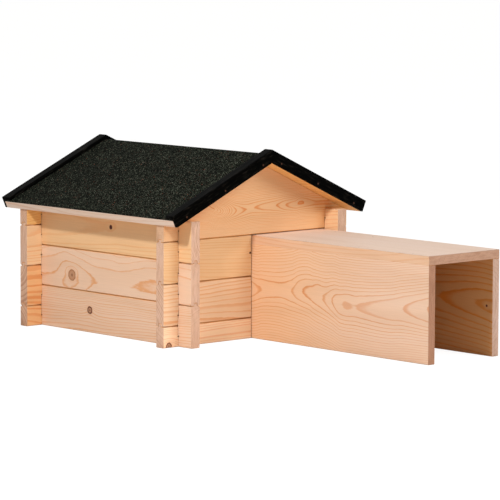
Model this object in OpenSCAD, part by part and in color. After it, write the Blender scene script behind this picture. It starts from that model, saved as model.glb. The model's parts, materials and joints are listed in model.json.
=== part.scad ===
// Hedgehog house: walls of interlocking profiled boards, a lift-off gable roof and an entrance tunnel.
// The origin is on the ground at the middle of the whole object. The tunnel points towards -Y.
// Left is -X and right is +X, as seen by someone who looks into the tunnel's mouth.

/* [Wall boards] */
// Height of one full board, from which every wall height follows
board_h = 70; // [60:1:85]
// Thickness of the wall boards
board_t = 19; // [16:0.5:24]
// Width over the outer faces of the two side walls
house_w = 351; // [320:1:420]
// Length over the outer faces of the two gable walls
house_l = 380; // [300:1:480]
// How far the log ends stand out past the wall that they cross
log_end = 32; // [20:1:45]
// Width of the tongue on a board's upper edge
tongue_w = 6; // [4:0.5:8]
// Height of the tongue
tongue_h = 5; // [3:0.5:7]
// Clearance between a tongue and its groove
groove_gap = 0.3; // [0.1:0.1:0.6]
// Chamfer on each edge of the horizontal joints
joint_chamfer = 1.3; // [0.5:0.1:2.5]
// Open gap at the front of a joint, where the boards bear only behind the tongue
joint_gap = 0.5; // [0:0.1:1]
// Depth of the vee groove behind each joint, from the board's back
vee_depth = 4; // [1.5:0.5:4.5]
// Height of that groove on each of the two boards
vee_h = 1.7; // [1:0.1:3]
// Clearance at each side of a corner notch
notch_gap = 0.4; // [0.1:0.1:1]

/* [Tunnel] */
// Width of the tunnel over its side boards
tunnel_w = 162; // [150:1:190]
// Thickness of the tunnel's boards
tunnel_t = 15; // [12:0.5:19]
// Length of the tunnel in front of the gable wall
tunnel_out = 417; // [200:1:500]
// How far the tunnel reaches into the house, from the wall's inner face
tunnel_in = 25; // [10:1:60]
// Distance from the tunnel to the right side wall's inner face
tunnel_wall_gap = 6.3; // [5:0.1:15]
// Clearance at each side of the tunnel in the wall opening
opening_gap = 1.5; // [0.5:0.1:3]
// Clearance between the tunnel's top and the gable panel
head_gap = 0.5; // [0.3:0.1:2]
// Rounding chamfer on the long edges of the tunnel's boards
tunnel_edge = 1; // [0.5:0.1:2]

/* [Opening batten] */
// Width of the batten that ties the cut boards at the opening
batten_w = 24; // [18:1:35]
// Depth of that batten
batten_d = 16; // [12:1:20]

/* [Roof] */
// Slope of the roof in degrees
roof_pitch = 24.3; // [18:0.1:30]
// Gap between a side wall's top and the roof, at the wall's outer face
vent_gap = 8.7; // [4:0.1:15]
// Length of a roof panel's underside, from the ridge down to the eave
slope_l = 231; // [215:1:270]
// How far the roof stands out past a gable wall's outer face
verge = 37; // [33:1:60]
// Thickness of the roof panels
panel_t = 12; // [9:0.5:18]
// Thickness of the roofing felt
felt_t = 2; // [1:0.1:3]
// Radius of the felt's fold over the ridge
felt_ridge_r = 8; // [4:0.5:12]
// Height that the roof is held off the gable panels
seat_gap = 0.2; // [0.1:0.05:0.4]

/* [Verge trims] */
// Thickness of the trim's upright leg, over the panel's end
trim_leg_t = 5; // [4:0.5:8]
// Width of the trim's flange, over the felt
trim_flange_w = 20; // [16:0.5:30]
// Thickness of that flange
trim_flange_t = 6.4; // [4:0.1:9]
// Chamfer on the trim's upper edges
trim_edge = 1; // [0.5:0.1:2]

/* [Roof framing] */
// Thickness of the two gusset boards
gusset_t = 12; // [9:1:18]
// Width of a gusset board
gusset_w = 300; // [240:1:304]
// Height of a gusset board's square ends
gusset_end_h = 8; // [4:1:11]
// Clearance between a gusset and the gable wall
gusset_gap = 2; // [1:0.5:4]
// Width of the batten under the ridge
ridge_batten_w = 28; // [22:1:40]
// Height of that batten at its middle
ridge_batten_h = 30; // [26:1:45]

/* [Fasteners] */
// Clearance of every nail and screw in its hole
fastener_gap = 0.05; // [0.02:0.01:0.1]
// Diameter of the batten screws
screw_d = 3.5; // [3:0.1:4.5]
// Diameter of their countersunk heads
screw_head_d = 7; // [6:0.1:9]
// Length of the batten screws
screw_l = 30; // [24:1:32]
// Diameter of the nails in the trims
trim_nail_d = 1.8; // [1.4:0.1:2.4]
// Diameter of their heads
trim_nail_head_d = 3.4; // [2.8:0.1:5]
// Length of those nails
trim_nail_l = 25; // [16:1:35]
// Distance from the ridge to the first trim nail, along the slope
trim_nail_ridge = 20; // [15:1:40]
// Distance from the eave to the last trim nail, along the slope
trim_nail_eave = 26; // [15:1:40]
// Diameter of the nails that hold the roof panels down
panel_nail_d = 2.2; // [1.8:0.1:3]
// Diameter of their flat heads
panel_nail_head_d = 5; // [4:0.1:6]
// Length of those nails
panel_nail_l = 28; // [24:1:32]
// Distance from the ridge to the nails of the ridge batten, along the slope
ridge_nail_s = 10; // [8:0.5:12]
// Diameter of the brads in the tunnel's top board
brad_d = 1.8; // [1.4:0.1:2.4]
// Diameter of their small heads
brad_head_d = 2.6; // [2.5:0.1:4]
// Length of the brads
brad_l = 40; // [30:1:50]
// Distance from each end of the tunnel to the nearest brad
brad_margin = 43; // [20:1:80]

/* [Hidden] */
$fn = 32;
// How far a cut runs past the surface that it opens
over = 1;
// Larger than the whole object, for cutting in half
huge = 1200;

// Each wall has three full boards' height, and the gable walls start with a half board
side_boards = 3;
half_h = board_h / 2;
wall_h = side_boards * board_h;
opening_h = wall_h - half_h;
// Depth of a corner notch, so that boards crossing at half height bear on each other
lap = board_h / 4;
log_x = house_w / 2 + log_end;
log_y = house_l / 2 + log_end;
side_x = (house_w - board_t) / 2;
gable_y = (house_l - board_t) / 2;
gable_inner_y = house_l / 2 - board_t;

// The whole object reaches from the tunnel's mouth to the rear verge
frame_y = (tunnel_out - verge) / 2;

tunnel_x = house_w / 2 - board_t - tunnel_wall_gap - tunnel_w / 2;
tunnel_h = opening_h - head_gap;
tunnel_side_h = tunnel_h - tunnel_t;
tunnel_len = tunnel_out + board_t + tunnel_in;
tunnel_mouth_y = -house_l / 2 - tunnel_out;
opening_left = tunnel_x - tunnel_w / 2 - opening_gap;
opening_right = tunnel_x + tunnel_w / 2 + opening_gap;

ridge_z = wall_h + vent_gap + house_w / 2 * tan(roof_pitch);
roof_half_l = house_l / 2 + verge;
panel_half_l = roof_half_l - trim_leg_t;
felt_top = panel_t + felt_t;
trim_top = felt_top + trim_flange_t;
gusset_y = gable_inner_y - gusset_gap - gusset_t / 2;
gusset_under_z = ridge_z - gusset_w / 2 * tan(roof_pitch);

screw_head_h = (screw_head_d - screw_d) / 2;
screw_recess_w = 1;
screw_recess_depth = 1.4;
screw_zs = [half_h / 2, board_h, 2 * board_h, opening_h + lap];
trim_nail_head_h = 0.8;
trim_nail_mid = (trim_nail_ridge + slope_l - trim_nail_eave) / 2;
trim_nail_ss = [trim_nail_ridge, trim_nail_mid, slope_l - trim_nail_eave];
panel_nail_head_h = 1;
gusset_nail_ss = [0.25, 0.55, 0.85] * gusset_w / 2 / cos(roof_pitch);
ridge_batten_half_l = gusset_y - gusset_t / 2;
ridge_nail_ys = [-0.6, 0.6] * ridge_batten_half_l;
// The left and right ridge nails cross, so they are set apart along the ridge
ridge_nail_stagger = 8;
brad_head_h = 1.5;
brads_per_side = 4;
brad_pitch = (tunnel_len - 2 * brad_margin) / (brads_per_side - 1);

spruce = [0.93, 0.77, 0.60];
spruce_light = [0.95, 0.82, 0.68];
spruce_warm = [0.90, 0.72, 0.53];
spruce_tones = [spruce, spruce_light, spruce_warm];
felt_green = [0.13, 0.15, 0.13];
trim_black = [0.07, 0.07, 0.08];
nail_brown = [0.45, 0.30, 0.22];
steel = [0.72, 0.72, 0.74];

// The boards come from different logs, so their colour changes from one to the next
function spruce_tone(number) = spruce_tones[number % len(spruce_tones)];

// Section of a wall board: thickness across, with its back on the positive side, and height up from the
// shoulder that bears. Only edges that meet another board have the gap at the front and the vee behind.
function board_section(h, groove, tongue) =
  let (
    face = board_t / 2,
    shoulder = face - joint_chamfer,
    vee_x = face - vee_depth,
    front_z = groove ? joint_gap : 0,
    groove_x = tongue_w / 2 + groove_gap,
    groove_z = tongue_h + groove_gap,
    tongue_x = tongue_w / 2,
    tongue_z = h + tongue_h
  )
  concat(
    [[-face, front_z + joint_chamfer], [-shoulder, front_z]],
    groove ? [[-groove_x, front_z], [-groove_x, groove_z], [groove_x, groove_z], [groove_x, 0]] : [],
    groove ? [[vee_x, 0], [face, vee_h]] : [[shoulder, 0], [face, joint_chamfer]],
    tongue ? [[face, h - vee_h], [vee_x, h]] : [[face, h - joint_chamfer], [shoulder, h]],
    tongue ? [[tongue_x, h], [tongue_x, tongue_z], [-tongue_x, tongue_z], [-tongue_x, h]] : [],
    [[-shoulder, h], [-face, h - joint_chamfer]]
  );

// Cuts for the two walls that a board crosses, at the distance given on each side of the middle
module corner_notches(distance, bottom_z, h, below, above) {
  width = board_t + 2 * notch_gap;
  for (side = [-1, 1]) translate([side * distance - width / 2, -board_t, bottom_z]) {
    if (below) translate([0, 0, -over]) cube([width, 2 * board_t, lap + over]);
    if (above) translate([0, 0, h - lap]) cube([width, 2 * board_t, lap + tongue_h + over]);
  }
}

// A board along X, from x0 to x1, in the middle plane of its wall
module log_board(x0, x1, crossing, bottom_z, h, groove, tongue, below, above) {
  difference() {
    translate([x0, 0, bottom_z]) rotate([90, 0, 90])
      linear_extrude(x1 - x0) polygon(board_section(h, groove, tongue));
    corner_notches(crossing, bottom_z, h, below, above);
  }
}

// Every piece is drawn about the middle of the house and moved once into the object's frame
module in_frame() {
  translate([0, frame_y, 0]) children();
}

// Side walls run along Y, with their backs to the inside. Number 1 is the lowest board.
module side_wall_board(side, number) {
  color(spruce_tone(number + side)) in_frame() translate([side * side_x, 0, 0]) rotate([0, 0, side * 90])
    log_board(-log_y, log_y, gable_y, (number - 1) * board_h, board_h,
      number > 1, number < side_boards, true, true);
}

module half_board(x0, x1) {
  log_board(x0, x1, side_x, 0, half_h, false, true, false, true);
}

// Full boards of a gable wall stand half a board above those of the side walls
module full_gable_board(x0, x1, number) {
  log_board(x0, x1, side_x, (number - 1.5) * board_h, board_h, true, true, true, true);
}

// The wide panel that closes a gable up to the roof's underside
module gable_panel() {
  seat_z = ridge_z - seat_gap / cos(roof_pitch);
  end_z = seat_z - log_x * tan(roof_pitch);
  intersection() {
    log_board(-log_x, log_x, side_x, opening_h, seat_z, true, false, true, false);
    rotate([90, 0, 0]) linear_extrude(board_t, center = true)
      polygon([[-log_x, opening_h], [log_x, opening_h], [log_x, end_z], [0, seat_z], [-log_x, end_z]]);
  }
}

module front_wall() {
  translate([0, -gable_y, 0]) children();
}

module rear_wall() {
  translate([0, gable_y, 0]) children();
}

// Countersunk wood screw along -Y, its head flush at the origin
module batten_screw(gap) {
  rotate([90, 0, 0]) {
    cylinder(d = screw_d + 2 * gap, h = screw_l + gap);
    cylinder(d1 = screw_head_d + 2 * gap, d2 = screw_d + 2 * gap, h = screw_head_h);
  }
}

module batten_screw_places() {
  for (z = screw_zs)
    translate([opening_left - batten_w / 2, -gable_inner_y + batten_d, z]) children();
}

module front_board_with_screws() {
  in_frame() difference() {
    front_wall() children();
    batten_screw_places() batten_screw(fastener_gap);
  }
}

module front_left_half_board() {
  color(spruce_warm) front_board_with_screws() half_board(-log_x, opening_left);
}

module front_left_board(number) {
  color(spruce_tone(number)) front_board_with_screws()
    full_gable_board(-log_x, opening_left, number);
}

module front_right_half_block() {
  color(spruce_warm) in_frame() front_wall() half_board(opening_right, log_x);
}

module front_right_block(number) {
  color(spruce_tone(number)) in_frame() front_wall()
    full_gable_board(opening_right, log_x, number);
}

module front_gable_panel() {
  color(spruce) front_board_with_screws() gable_panel();
}

module rear_half_board() {
  color(spruce_warm) in_frame() rear_wall() half_board(-log_x, log_x);
}

module rear_wall_board(number) {
  color(spruce_tone(number)) in_frame() rear_wall() full_gable_board(-log_x, log_x, number);
}

module rear_gable_panel() {
  color(spruce_warm) in_frame() rear_wall() gable_panel();
}

module opening_batten() {
  color(spruce_light) in_frame() difference() {
    translate([opening_left - batten_w, -gable_inner_y, 0]) cube([batten_w, batten_d, wall_h]);
    batten_screw_places() batten_screw(fastener_gap);
  }
}

module batten_screws() {
  color(steel) in_frame() batten_screw_places() difference() {
    batten_screw(0);
    for (turn = [0, 90]) rotate([0, turn, 0])
      translate([-screw_d / 2, -screw_recess_depth, -screw_recess_w / 2])
        cube([screw_d, screw_recess_depth + over, screw_recess_w]);
  }
}

// Draws something made for the right slope on the slope asked for
module on_slope(side) {
  mirror([side < 0 ? 1 : 0, 0, 0]) children();
}

// Local frame of the right slope: X down the slope from the ridge, Z square to it, 0 at the underside
module at_ridge() {
  translate([0, 0, ridge_z]) rotate([0, roof_pitch, 0]) children();
}

// A section in (y, height over the underside), run down the right slope and cut plumb at the ridge
module slope_run(height) {
  reach = height * tan(roof_pitch) + over;
  intersection() {
    at_ridge() translate([-reach, 0, 0]) rotate([90, 0, 90]) linear_extrude(slope_l + reach) children();
    translate([0, -huge, 0]) cube([huge, 2 * huge, huge]);
  }
}

module trim_section() {
  outer = roof_half_l;
  inner = roof_half_l - trim_flange_w;
  polygon([
    [outer, 0], [outer, trim_top - trim_edge], [outer - trim_edge, trim_top],
    [inner + trim_edge, trim_top], [inner, trim_top - trim_edge], [inner, felt_top],
    [panel_half_l, felt_top], [panel_half_l, 0]
  ]);
}

// Nail along local -Z with its head flush at the origin
module nail(d, l, head_d, head_h, gap) {
  translate([0, 0, -l - gap]) cylinder(d = d + 2 * gap, h = l + gap);
  translate([0, 0, -head_h]) cylinder(d = head_d + 2 * gap, h = head_h);
}

// The three nails of one trim, drawn for the rear end
module trim_nails(side, gap) {
  on_slope(side) at_ridge() for (s = trim_nail_ss)
    translate([s, roof_half_l, panel_t / 2]) rotate([-90, 0, 0])
      nail(trim_nail_d, trim_nail_l, trim_nail_head_d, trim_nail_head_h, gap);
}

module at_end(end) {
  mirror([0, end < 0 ? 1 : 0, 0]) children();
}

module gusset_nail_places(side) {
  on_slope(side) at_ridge() for (end = [-1, 1], s = gusset_nail_ss)
    translate([s, end * gusset_y, panel_t]) children();
}

module ridge_nail_places(side) {
  on_slope(side) at_ridge() for (y = ridge_nail_ys)
    translate([ridge_nail_s, y + side * ridge_nail_stagger, panel_t]) children();
}

module panel_nails_of(side, gap) {
  gusset_nail_places(side) nail(panel_nail_d, panel_nail_l, panel_nail_head_d, panel_nail_head_h, gap);
  ridge_nail_places(side) nail(panel_nail_d, panel_nail_l, panel_nail_head_d, panel_nail_head_h, gap);
}

module roof_panel(side) {
  color(spruce_light) in_frame() difference() {
    on_slope(side) slope_run(panel_t)
      translate([-panel_half_l, 0]) square([2 * panel_half_l, panel_t]);
    panel_nails_of(side, fastener_gap);
    for (end = [-1, 1]) at_end(end) trim_nails(side, fastener_gap);
  }
}

// Points of the felt's outer fold, an arc that both slopes touch
function felt_fold() =
  let (
    steps = 8,
    centre_z = ridge_z + (felt_top - felt_ridge_r) / cos(roof_pitch)
  )
  [for (i = [0:steps]) let (a = roof_pitch * (2 * i / steps - 1))
    [felt_ridge_r * sin(a), centre_z + felt_ridge_r * cos(a)]];

// A point of the right slope, from its distance down the slope and its height over the underside
function slope_point(s, height) = [
  s * cos(roof_pitch) + height * sin(roof_pitch),
  ridge_z - s * sin(roof_pitch) + height * cos(roof_pitch)
];

function mirrored(point) = [-point[0], point[1]];

module roof_felt() {
  lower = slope_point(slope_l, panel_t);
  upper = slope_point(slope_l, felt_top);
  color(felt_green) in_frame() rotate([90, 0, 0]) linear_extrude(2 * panel_half_l, center = true)
    polygon(concat(
      [mirrored(lower), mirrored(upper)], felt_fold(),
      [upper, lower, [0, ridge_z + panel_t / cos(roof_pitch)]]
    ));
}

module verge_trim(end, side) {
  color(trim_black) in_frame() at_end(end) difference() {
    on_slope(side) slope_run(trim_top) trim_section();
    trim_nails(side, fastener_gap);
  }
}

module end_trim_nails(end) {
  color(nail_brown) in_frame() at_end(end) for (side = [-1, 1]) trim_nails(side, 0);
}

// A board or batten that fills the angle under the ridge, in the plane of the gables
module under_ridge(width, bottom_z, length) {
  side_z = ridge_z - width / 2 * tan(roof_pitch);
  rotate([90, 0, 0]) linear_extrude(length, center = true)
    polygon([
      [0, ridge_z], [width / 2, side_z], [width / 2, bottom_z],
      [-width / 2, bottom_z], [-width / 2, side_z]
    ]);
}

module ridge_batten() {
  color(spruce) in_frame() difference() {
    under_ridge(ridge_batten_w, ridge_z - ridge_batten_h, 2 * ridge_batten_half_l);
    for (side = [-1, 1]) panel_nails_of(side, fastener_gap);
  }
}

module roof_gusset(end) {
  color(spruce_light) in_frame() difference() {
    translate([0, end * gusset_y, 0])
      under_ridge(gusset_w, gusset_under_z - gusset_end_h, gusset_t);
    for (side = [-1, 1]) panel_nails_of(side, fastener_gap);
  }
}

module panel_nails() {
  color(steel) in_frame() for (side = [-1, 1]) panel_nails_of(side, 0);
}

// Runs a section in (x, z) along the whole tunnel
module along_tunnel() {
  translate([tunnel_x, tunnel_mouth_y + tunnel_len, 0]) rotate([90, 0, 0])
    linear_extrude(tunnel_len) children();
}

module tunnel_brad_places() {
  for (side = [-1, 1], i = [0:brads_per_side - 1])
    translate([
      tunnel_x + side * (tunnel_w - tunnel_t) / 2,
      tunnel_mouth_y + brad_margin + i * brad_pitch,
      tunnel_h
    ]) children();
}

module brad(gap) {
  nail(brad_d, brad_l, brad_head_d, brad_head_h, gap);
}

module tunnel_top_board() {
  half = tunnel_w / 2;
  color(spruce_light) in_frame() difference() {
    along_tunnel() polygon([
      [-half, tunnel_side_h], [half, tunnel_side_h], [half, tunnel_h - tunnel_edge],
      [half - tunnel_edge, tunnel_h], [-half + tunnel_edge, tunnel_h], [-half, tunnel_h - tunnel_edge]
    ]);
    tunnel_brad_places() brad(fastener_gap);
  }
}

module tunnel_side_board(side) {
  outer = side * tunnel_w / 2;
  inner = side * (tunnel_w / 2 - tunnel_t);
  color(spruce_light) in_frame() difference() {
    along_tunnel() polygon([
      [outer, tunnel_side_h], [outer, tunnel_edge], [outer - side * tunnel_edge, 0],
      [inner + side * tunnel_edge, 0], [inner, tunnel_edge], [inner, tunnel_side_h]
    ]);
    tunnel_brad_places() brad(fastener_gap);
  }
}

module tunnel_brads() {
  color(steel) in_frame() tunnel_brad_places() brad(0);
}

side_wall_board(-1, 1);  // left_wall_board_1
side_wall_board(-1, 2);  // left_wall_board_2
side_wall_board(-1, 3);  // left_wall_board_3
side_wall_board(1, 1);  // right_wall_board_1
side_wall_board(1, 2);  // right_wall_board_2
side_wall_board(1, 3);  // right_wall_board_3
rear_half_board();
rear_wall_board(2);  // rear_wall_board_2
rear_wall_board(3);  // rear_wall_board_3
rear_gable_panel();
front_left_half_board();
front_left_board(2);  // front_left_board_2
front_left_board(3);  // front_left_board_3
front_right_half_block();
front_right_block(2);  // front_right_block_2
front_right_block(3);  // front_right_block_3
front_gable_panel();
opening_batten();
batten_screws();
roof_panel(-1);  // roof_panel_left
roof_panel(1);  // roof_panel_right
roof_felt();
verge_trim(-1, -1);  // front_trim_left
verge_trim(-1, 1);  // front_trim_right
verge_trim(1, -1);  // rear_trim_left
verge_trim(1, 1);  // rear_trim_right
end_trim_nails(-1);  // front_trim_nails
end_trim_nails(1);  // rear_trim_nails
ridge_batten();
roof_gusset(-1);  // roof_gusset_front
roof_gusset(1);  // roof_gusset_rear
panel_nails();
tunnel_top_board();
tunnel_side_board(-1);  // tunnel_left_board
tunnel_side_board(1);  // tunnel_right_board
tunnel_brads();
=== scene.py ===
# Hedgehog house: the finish of every piece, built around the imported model.
# Figures in the wood are drawn in millimetres of the object's own frame. Everything else is in metres
# and degrees, unless a note says otherwise.
import json
import math
import random

import bmesh
import bpy
from mathutils import Matrix, Vector


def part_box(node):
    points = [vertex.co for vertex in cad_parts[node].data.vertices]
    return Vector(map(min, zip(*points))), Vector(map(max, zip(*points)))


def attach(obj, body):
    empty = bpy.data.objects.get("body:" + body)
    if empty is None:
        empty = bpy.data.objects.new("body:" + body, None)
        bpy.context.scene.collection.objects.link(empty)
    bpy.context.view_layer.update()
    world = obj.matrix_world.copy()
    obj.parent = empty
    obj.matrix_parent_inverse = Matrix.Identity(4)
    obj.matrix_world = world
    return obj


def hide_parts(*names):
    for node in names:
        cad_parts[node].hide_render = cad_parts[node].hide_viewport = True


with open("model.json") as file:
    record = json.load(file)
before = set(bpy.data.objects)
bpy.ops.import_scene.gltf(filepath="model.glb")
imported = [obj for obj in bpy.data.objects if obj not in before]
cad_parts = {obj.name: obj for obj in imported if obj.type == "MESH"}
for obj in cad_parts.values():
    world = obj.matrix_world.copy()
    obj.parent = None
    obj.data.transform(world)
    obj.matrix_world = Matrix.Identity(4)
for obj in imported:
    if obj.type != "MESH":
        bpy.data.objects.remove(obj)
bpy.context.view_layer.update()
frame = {"nodes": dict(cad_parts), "record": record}
nodes = frame["nodes"]
bodyOf = {name: body for body, names in frame["record"]["behaviour"]["bodies"].items() for name in names}
slotOf = {part["node"]: part["material_slot"] for part in frame["record"]["subparts"]}
print("frame loaded:", len(nodes), "nodes")


# Small helpers

def deselect():
    bpy.ops.object.select_all(action="DESELECT")


def selectOnly(piece):
    deselect()
    piece.select_set(True)
    bpy.context.view_layer.objects.active = piece


def applyModifier(piece, kind, **settings):
    selectOnly(piece)
    bpy.ops.object.modifier_add(type=kind)
    modifier = piece.modifiers[-1]
    for name, value in settings.items():
        setattr(modifier, name, value)
    bpy.ops.object.modifier_apply(modifier=modifier.name)


def addToScene(thing):
    bpy.context.scene.collection.objects.link(thing)


def giveFinish(piece, material):
    piece.data.materials.clear()
    piece.data.materials.append(material)


def standFor(piece, nodeName):
    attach(piece, bodyOf[nodeName])
    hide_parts(nodeName)


def middleOf(nodeName, axis):
    return sum(corner[axis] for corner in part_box(nodeName)) / 2


def paint(red, green, blue):
    # A colour as a paint chart gives it, from 0 to 255, turned into the shader's scale
    def level(value):
        value /= 255
        return value / 12.92 if value <= 0.04045 else ((value + 0.055) / 1.055) ** 2.4
    return (level(red), level(green), level(blue), 1.0)


# Node helpers: most return the socket that carries their result

def plug(tree, value, socket):
    if isinstance(value, bpy.types.NodeSocket):
        tree.links.new(value, socket)
    else:
        socket.default_value = value


def addNode(tree, kind, values=(), **settings):
    # The values go into the sockets with these names or numbers, and the new node's outputs come back
    node = tree.nodes.new("ShaderNode" + kind)
    for name, setting in settings.items():
        setattr(node, name, setting)
    for socket, value in dict(values).items():
        plug(tree, value, node.inputs[socket])
    return node.outputs


def calc(tree, operation, *values):
    return addNode(tree, "Math", enumerate(values), operation=operation)[0]


def plus(tree, first, second):
    return calc(tree, "ADD", first, second)


def minus(tree, first, second):
    return calc(tree, "SUBTRACT", first, second)


def times(tree, first, second):
    return calc(tree, "MULTIPLY", first, second)


def absolute(tree, value):
    return calc(tree, "ABSOLUTE", value)


def hypotenuse(tree, first, second):
    squares = [calc(tree, "POWER", absolute(tree, side), 2.0) for side in (first, second)]
    return calc(tree, "SQRT", plus(tree, *squares))


def vectorCalc(tree, operation, *values):
    return addNode(tree, "VectorMath", enumerate(values), operation=operation)[0]


def objectPlace(tree):
    return addNode(tree, "TexCoord")["Object"]


def scaled(tree, place, *factors):
    # One factor for all three axes, or one for each
    return vectorCalc(tree, "MULTIPLY", place, factors if len(factors) == 3 else factors * 3)


def separate(tree, value):
    return addNode(tree, "SeparateXYZ", {0: value})


def combine(tree, parts):
    return addNode(tree, "CombineXYZ", enumerate(parts))[0]


def turnedLevel(tree, value, tilt):
    return addNode(tree, "VectorRotate", {"Vector": value, "Angle": tilt}, rotation_type="Y_AXIS")[0]


def noise(tree, place, detail=2.0, roughness=0.5, scale=1.0):
    values = {"Vector": place, "Scale": scale, "Detail": detail, "Roughness": roughness}
    return addNode(tree, "TexNoise", values)["Fac"]


def noiseAlong(tree, value, detail=1.0):
    values = {"W": value, "Scale": 1.0, "Detail": detail}
    return addNode(tree, "TexNoise", values, noise_dimensions="1D")["Fac"]


def lotOf(tree, value):
    # A random share between 0 and 1, the same wherever the value is the same
    return addNode(tree, "TexWhiteNoise", {"W": value}, noise_dimensions="1D")["Value"]


def stretch(tree, value, low, high, newLow=0.0, newHigh=1.0, smooth=False):
    values = {"Value": value, "From Min": low, "From Max": high, "To Min": newLow, "To Max": newHigh}
    kind = "SMOOTHSTEP" if smooth else "LINEAR"
    return addNode(tree, "MapRange", values, interpolation_type=kind)["Result"]


def ramp(tree, value, stops):
    # Each stop has a place and a grey level, a shader colour of four numbers or a paint chart's three
    node = tree.nodes.new("ShaderNodeValToRGB")
    elements = node.color_ramp.elements
    while len(elements) < len(stops):
        elements.new(0.5)
    for element, (place, colour) in zip(elements, stops):
        if not isinstance(colour, tuple):
            colour = (colour, colour, colour, 1)
        element.position = place
        element.color = paint(*colour) if len(colour) == 3 else colour
    tree.links.new(value, node.inputs[0])
    return node.outputs["Color"]


def blendColours(tree, share, first, second, mode="MIX"):
    node = tree.nodes.new("ShaderNodeMix")
    node.data_type = "RGBA"
    node.blend_type = mode
    sockets = {socket.identifier: socket for socket in node.inputs}
    plug(tree, share, sockets["Factor_Float"])
    plug(tree, first, sockets["A_Color"])
    plug(tree, second, sockets["B_Color"])
    return next(socket for socket in node.outputs if socket.identifier == "Result_Color")


def shaded(tree, colour, shade, share=1.0):
    return blendColours(tree, share, colour, shade, "MULTIPLY")


def tinted(tree, colour, value, stops):
    return shaded(tree, colour, ramp(tree, value, stops))


def newGroup(name, inputs, outputs):
    # Every group reads a place too, and all but places and colours are numbers
    kinds = {"place": "NodeSocketVector", "colour": "NodeSocketColor"}
    group = bpy.data.node_groups.new(name, "ShaderNodeTree")
    for side, labels in (("INPUT", ("place", *inputs)), ("OUTPUT", outputs)):
        for label in labels:
            kind = kinds.get(label, "NodeSocketFloat")
            group.interface.new_socket(name=label, in_out=side, socket_type=kind)
    return group, group.nodes.new("NodeGroupInput").outputs, group.nodes.new("NodeGroupOutput").inputs


def useGroup(tree, group, place, values):
    return addNode(tree, "Group", {"place": place, **values}, node_tree=group)


def newMaterial(name, levels):
    # The material, its node tree and its shader's inputs, with the plain levels set
    material = bpy.data.materials.new(name)
    material.use_nodes = True
    inputs = material.node_tree.nodes["Principled BSDF"].inputs
    for label, level in levels.items():
        inputs[label].default_value = level
    return material, material.node_tree, inputs


def addBump(tree, inputs, relief, strength, depth):
    bump = addNode(tree, "Bump", {"Strength": strength, "Distance": depth, "Height": relief})
    tree.links.new(bump[0], inputs["Normal"])


# Camera: the photograph was taken from afar, with a long lens

cameraSettings = {
    "azimuth": -42.206, "elevation": 6.292, "roll": 0.231,
    "distance": 5.5735, "right": 0.1159, "up": 0.1317,   # from the middle of the house
    "lens": 231.84, "sensor": 36,   # millimetres
    "farthest": 100,
}
houseMiddle = Vector((0, middleOf("left_wall_board_1", 1), 0))


def setCamera(settings):
    data = bpy.data.cameras.new("camera")
    data.sensor_width = settings["sensor"]
    data.lens = settings["lens"]
    data.clip_end = settings["farthest"]
    camera = bpy.data.objects.new("camera", data)
    addToScene(camera)
    turn = (Matrix.Rotation(math.radians(settings["azimuth"]), 4, "Z")
            @ Matrix.Rotation(math.radians(90 - settings["elevation"]), 4, "X")
            @ Matrix.Rotation(math.radians(settings["roll"]), 4, "Z"))
    seat = Matrix.Translation((settings["right"], settings["up"], settings["distance"]))
    camera.matrix_world = Matrix.Translation(houseMiddle) @ turn @ seat
    bpy.context.scene.camera = camera


setCamera(cameraSettings)
print("camera set")


# Light, floor and backdrop

studioSettings = {
    "keyPlace": (-1.175, -0.40, 1.16), "keySize": 0.15, "keyPower": 14.6,   # a small lamp near the corner
    "fillPlace": (1.6, -3.6, 3.2), "fillSize": 3.0, "fillPower": 134,
    "aim": (0, 0, 0.1),
    "skyLevel": 0.27, "skyColour": (255, 249, 242),
    "floorSize": 30, "floorDrop": 0.0001, "floorColour": (236, 232, 227), "floorRoughness": 0.9,
    "floorWhite": 0.8, "whiteLevel": 1.18,   # how the camera sees the floor
}


def lampAt(name, settings):
    data = bpy.data.lights.new(name, "AREA")
    data.shape = "DISK"
    data.energy = settings[name + "Power"]
    data.size = settings[name + "Size"]
    lamp = bpy.data.objects.new(name, data)
    addToScene(lamp)
    lamp.location = settings[name + "Place"]
    lamp.rotation_euler = (lamp.location - Vector(settings["aim"])).to_track_quat("Z", "Y").to_euler()


def backgroundMask(tree):
    # 1 for what the camera sees directly, in a reflection or through glass
    rays = addNode(tree, "LightPath")
    reflected = calc(tree, "MAXIMUM", rays["Is Camera Ray"], rays["Is Glossy Ray"])
    return calc(tree, "MAXIMUM", reflected, rays["Is Transmission Ray"])


def mixShaders(tree, share, first, second, output):
    mix = addNode(tree, "MixShader", enumerate((share, first, second)))
    tree.links.new(mix[0], output.inputs[0])


def lightSky(settings):
    world = bpy.data.worlds.new("studio")
    bpy.context.scene.world = world
    world.use_nodes = True
    tree = world.node_tree
    tree.nodes.clear()
    skyColour = paint(*settings["skyColour"])
    sky = addNode(tree, "Background", {"Color": skyColour, "Strength": settings["skyLevel"]})
    white = addNode(tree, "Background", {"Color": (1, 1, 1, 1)})
    output = tree.nodes.new("ShaderNodeOutputWorld")
    mixShaders(tree, backgroundMask(tree), sky[0], white[0], output)


def layFloor(settings):
    deselect()
    bpy.ops.mesh.primitive_plane_add(size=settings["floorSize"], location=(0, 0, -settings["floorDrop"]))
    floor = bpy.context.active_object
    floor.name = "floor"
    material, tree, inputs = newMaterial("pale_floor", {
        "Base Color": paint(*settings["floorColour"]), "Roughness": settings["floorRoughness"]})
    glow = addNode(tree, "Emission", {"Strength": settings["whiteLevel"]})
    share = times(tree, backgroundMask(tree), settings["floorWhite"])
    mixShaders(tree, share, tree.nodes["Principled BSDF"].outputs[0], glow[0],
               tree.nodes["Material Output"])
    giveFinish(floor, material)


lampAt("key", studioSettings)
lampAt("fill", studioSettings)
lightSky(studioSettings)
layFloor(studioSettings)
bpy.context.scene.view_settings.view_transform = "Standard"
print("studio lit")


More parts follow.
